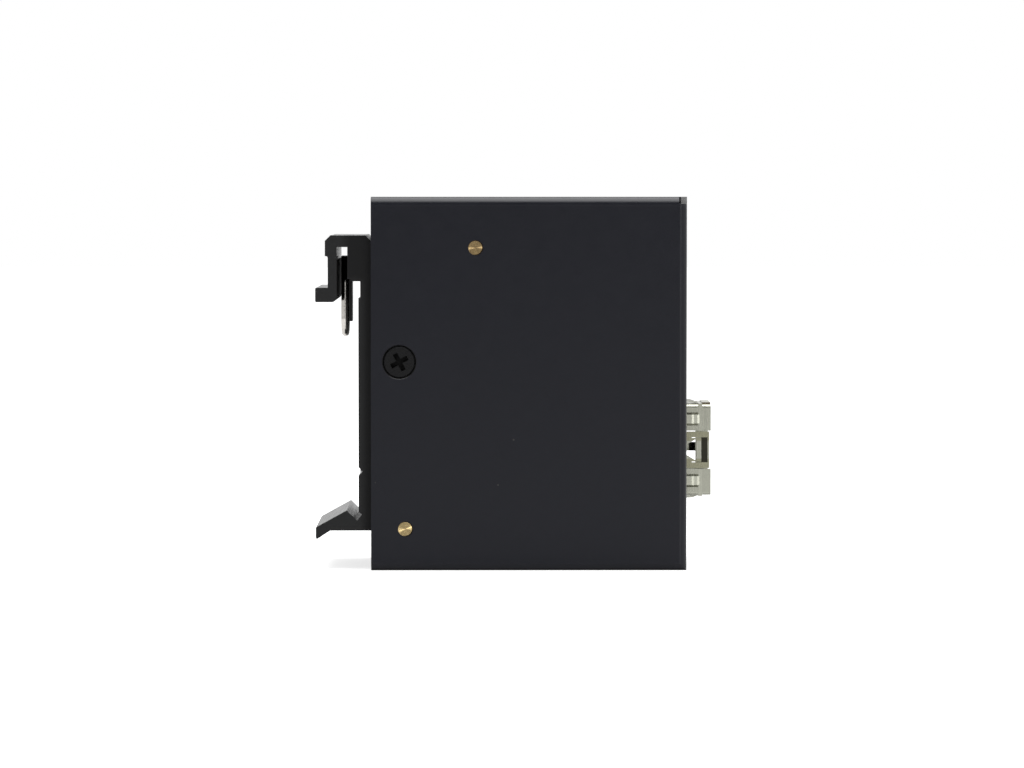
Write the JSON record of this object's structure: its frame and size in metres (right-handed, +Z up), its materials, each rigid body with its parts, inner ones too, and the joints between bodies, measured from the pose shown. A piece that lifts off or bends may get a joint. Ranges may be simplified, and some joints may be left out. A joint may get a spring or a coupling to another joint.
{
  "type": "industrial media converter",
  "caption": "Slim black sheet-metal media converter that clips on a DIN rail, with a fibre module cage and an RJ45 port on its front and a power header in its top.",
  "frame": {"origin": "centre of the case's bottom face", "axes": "+X to the front wall with the ports, -X to the rail clip, +Z up, -Y to the side panel that carries the board"},
  "size_m": [0.0618, 0.028, 0.058],
  "materials": {
    "case_paint": "satin black paint on sheet steel",
    "clip_anodised": "black anodised extrusion, satin",
    "spring_wire": "bright nickel-plated spring wire",
    "black_screw": "black oxide",
    "plated_steel": "zinc plated",
    "brass": "turned brass",
    "cage_metal": "nickel-plated copper alloy",
    "shield_metal": "tin-plated steel",
    "connector_plastic": "moulded black",
    "header_plastic": "moulded green",
    "gold_contact": "gold-plated",
    "pin_tin": "tin-plated",
    "board_laminate": "solder mask on laminate",
    "chip_plastic": "moulded epoxy",
    "can_aluminium": "drawn can",
    "fuse_body": "polymer body",
    "lamp_body": "clear resin",
    "light_pipe": "clear acrylic"
  },
  "bodies": {
    "root": {"chassis": "case_paint", "cover": "case_paint", "case_screw": "black_screw", "case_nut": "plated_steel", "bracket_nuts": "plated_steel", "bracket_screws": "black_screw", "din_bracket": "clip_anodised", "rail_spring": "spring_wire", "standoff_upper": "brass", "standoff_lower": "brass", "board_screws": "plated_steel", "circuit_board": "board_laminate", "sfp_cage": "cage_metal", "sfp_emi_collar": "cage_metal", "sfp_connector": "connector_plastic", "sfp_contacts": "gold_contact", "jack_shield": "shield_metal", "jack_housing": "connector_plastic", "jack_contacts": "gold_contact", "power_header": "header_plastic", "power_pins": "pin_tin", "status_led_1": "lamp_body", "status_led_2": "lamp_body", "status_led_3": "lamp_body", "light_pipe_1": "light_pipe", "light_pipe_2": "light_pipe", "light_pipe_3": "light_pipe", "lan_transformer": "chip_plastic", "converter_chip": "chip_plastic", "crystal": "plated_steel", "regulator_chip": "chip_plastic", "power_inductor": "chip_plastic", "bulk_capacitor": "can_aluminium", "input_diode": "chip_plastic", "input_fuse": "fuse_body"}
  },
  "joints": []
}
